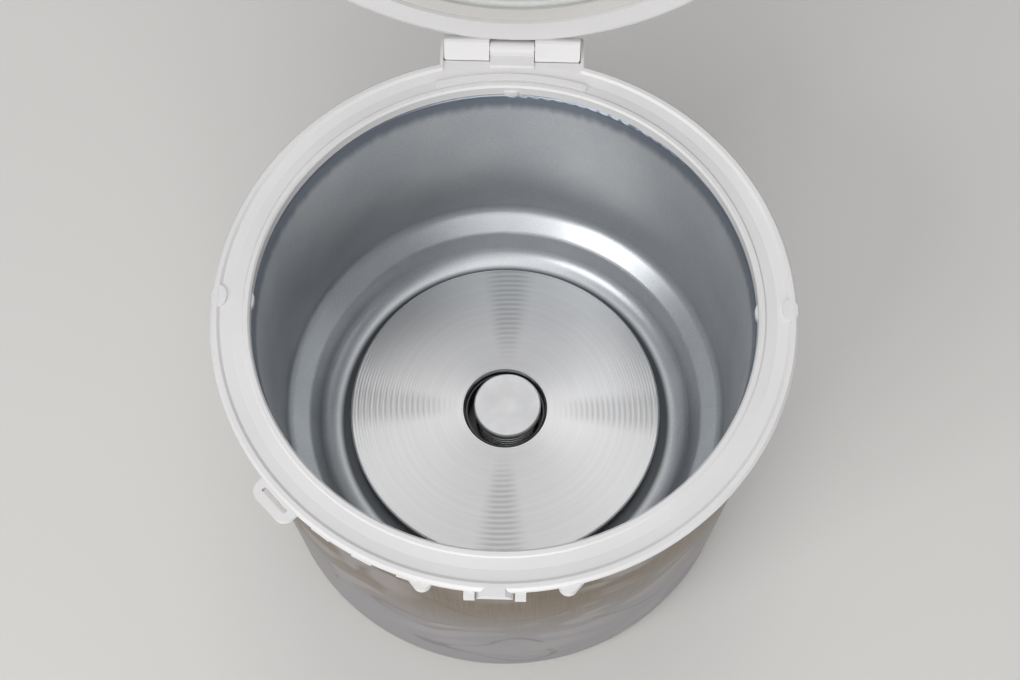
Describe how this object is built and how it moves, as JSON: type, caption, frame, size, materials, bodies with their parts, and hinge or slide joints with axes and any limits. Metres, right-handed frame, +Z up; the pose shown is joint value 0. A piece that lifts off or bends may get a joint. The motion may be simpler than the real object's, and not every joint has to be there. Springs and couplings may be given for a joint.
{
  "type": "rice cooker",
  "caption": "Round electric rice cooker body with its hinged lid open: collar, coated liner, heater plate and sprung sensor. The cooking pot is not in it.",
  "frame": {"origin": "on the table, on the vertical axis of the body, in the plane of the foot ring's face", "axes": "+Z up, -Y towards the user and the latch, +Y towards the lid hinge, +X to the right seen from the front"},
  "size_m": [0.2868, 0.3426, 0.4805],
  "materials": {
    "white_plastic": "moulded white plastic, satin",
    "printed_shell": "printed pearl tinplate",
    "liner_finish": "silver grey baked coating",
    "mica_band": "mica sheet",
    "base_plastic": "moulded heat resistant plastic",
    "black_rubber": "matt rubber",
    "zinc_steel": "zinc plated steel",
    "turned_aluminium": "face turned, fine rings",
    "element_steel": "oxidised steel tube",
    "shield_aluminium": "rolled sheet",
    "fuse_body": "coated metal case",
    "blasted_aluminium": "fine blasted",
    "black_plastic": "moulded black plastic",
    "spring_steel": "bright drawn wire",
    "circuit_board": "glass fibre board",
    "relay_plastic": "moulded blue plastic",
    "capacitor_sleeve": "shrink sleeve",
    "nickel_brass": "nickel plated",
    "cream_plastic": "moulded cream plastic",
    "foil_heater": "foil",
    "satin_aluminium": "satin anodised",
    "clear_silicone": "translucent silicone",
    "grey_plastic": "moulded grey plastic",
    "panel_plastic": "pearl grey plastic",
    "key_plastic": "moulded pale plastic",
    "lamp_lens": "amber lens"
  },
  "bodies": {
    "cooker_body": {"top_collar": "white_plastic", "outer_shell": "printed_shell", "liner": "liner_finish", "side_heater": "mica_band", "base_tray": "base_plastic", "foot_ring": "black_rubber", "hem_screws": "zinc_steel", "post_screws": "zinc_steel", "heater_plate": "turned_aluminium", "heater_element": "element_steel", "plate_posts": "zinc_steel", "heat_shield": "shield_aluminium", "thermal_fuse": "fuse_body", "fuse_clip": "zinc_steel", "sensor_holder": "zinc_steel", "sensor_spring": "spring_steel", "power_board": "circuit_board", "board_transformer": "black_plastic", "board_relay": "relay_plastic", "board_capacitors": "capacitor_sleeve", "terminal_block": "base_plastic", "power_inlet": "black_plastic", "inlet_pins": "nickel_brass", "hinge_pin": "zinc_steel", "hinge_springs": "spring_steel"},
    "sensor": {"sensor_cap": "blasted_aluminium", "sensor_thermistor": "black_plastic"},
    "lid": {"lid_outer_shell": "white_plastic", "lid_inner_cover": "cream_plastic", "lid_screws": "zinc_steel", "lid_heater": "foil_heater", "vent_seat": "grey_plastic", "control_panel": "panel_plastic", "lamp_lenses": "lamp_lens", "control_board": "circuit_board", "tact_switches": "black_plastic", "buzzer": "black_plastic", "latch_pin": "zinc_steel", "latch_spring": "spring_steel", "handle_pivots": "grey_plastic"},
    "inner_lid": {"inner_lid_plate": "satin_aluminium", "inner_lid_gasket": "clear_silicone", "inner_lid_grommet": "clear_silicone"},
    "steam_cap": {"vent_cap": "grey_plastic"},
    "cook_button": {"cook_key": "key_plastic"},
    "warm_button": {"warm_key": "key_plastic"},
    "latch": {"latch_button": "white_plastic"},
    "handle": {"carry_handle": "white_plastic"}
  },
  "joints": [
    {"name": "lid_hinge", "type": "hinge", "parent": "cooker_body", "child": "lid", "pos_m": [0, 0.1385, 0.201], "axis": [1, 0, 0], "range_deg": [0, 95], "stiffness_Nm_per_rad": 0.65, "springref_deg": -28.65, "deforming": ["hinge_springs"]},
    {"name": "sensor_press", "type": "slide", "parent": "cooker_body", "child": "sensor", "axis": [0, 0, -1], "range_m": [0, 0.0045], "stiffness_N_per_m": 300, "springref_m": -0.004, "deforming": ["sensor_spring"]},
    {"name": "latch_press", "type": "hinge", "parent": "lid", "child": "latch", "pos_m": [0, 0.17477, 0.46635], "axis": [1, 0, 0], "range_deg": [-9.5, 0], "stiffness_Nm_per_rad": 0.08, "springref_deg": 11.46, "deforming": ["latch_spring"]},
    {"name": "handle_swing", "type": "hinge", "parent": "lid", "child": "handle", "pos_m": [0, 0.17348, 0.33697], "axis": [1, 0, 0], "range_deg": [-5, 90]},
    {"name": "inner_lid_off", "type": "slide", "parent": "lid", "child": "inner_lid", "axis": [0, -0.9962, 0.0872], "range_m": [0, 0.03]},
    {"name": "steam_cap_off", "type": "slide", "parent": "lid", "child": "steam_cap", "axis": [0, 0.9962, -0.0872], "range_m": [0, 0.02]},
    {"name": "cook_press", "type": "slide", "parent": "lid", "child": "cook_button", "axis": [0, -0.9962, 0.0872], "range_m": [0, 0.001], "stiffness_N_per_m": 200, "springref_m": -0.001},
    {"name": "warm_press", "type": "slide", "parent": "lid", "child": "warm_button", "axis": [0, -0.9962, 0.0872], "range_m": [0, 0.001], "stiffness_N_per_m": 200, "springref_m": -0.001}
  ]
}
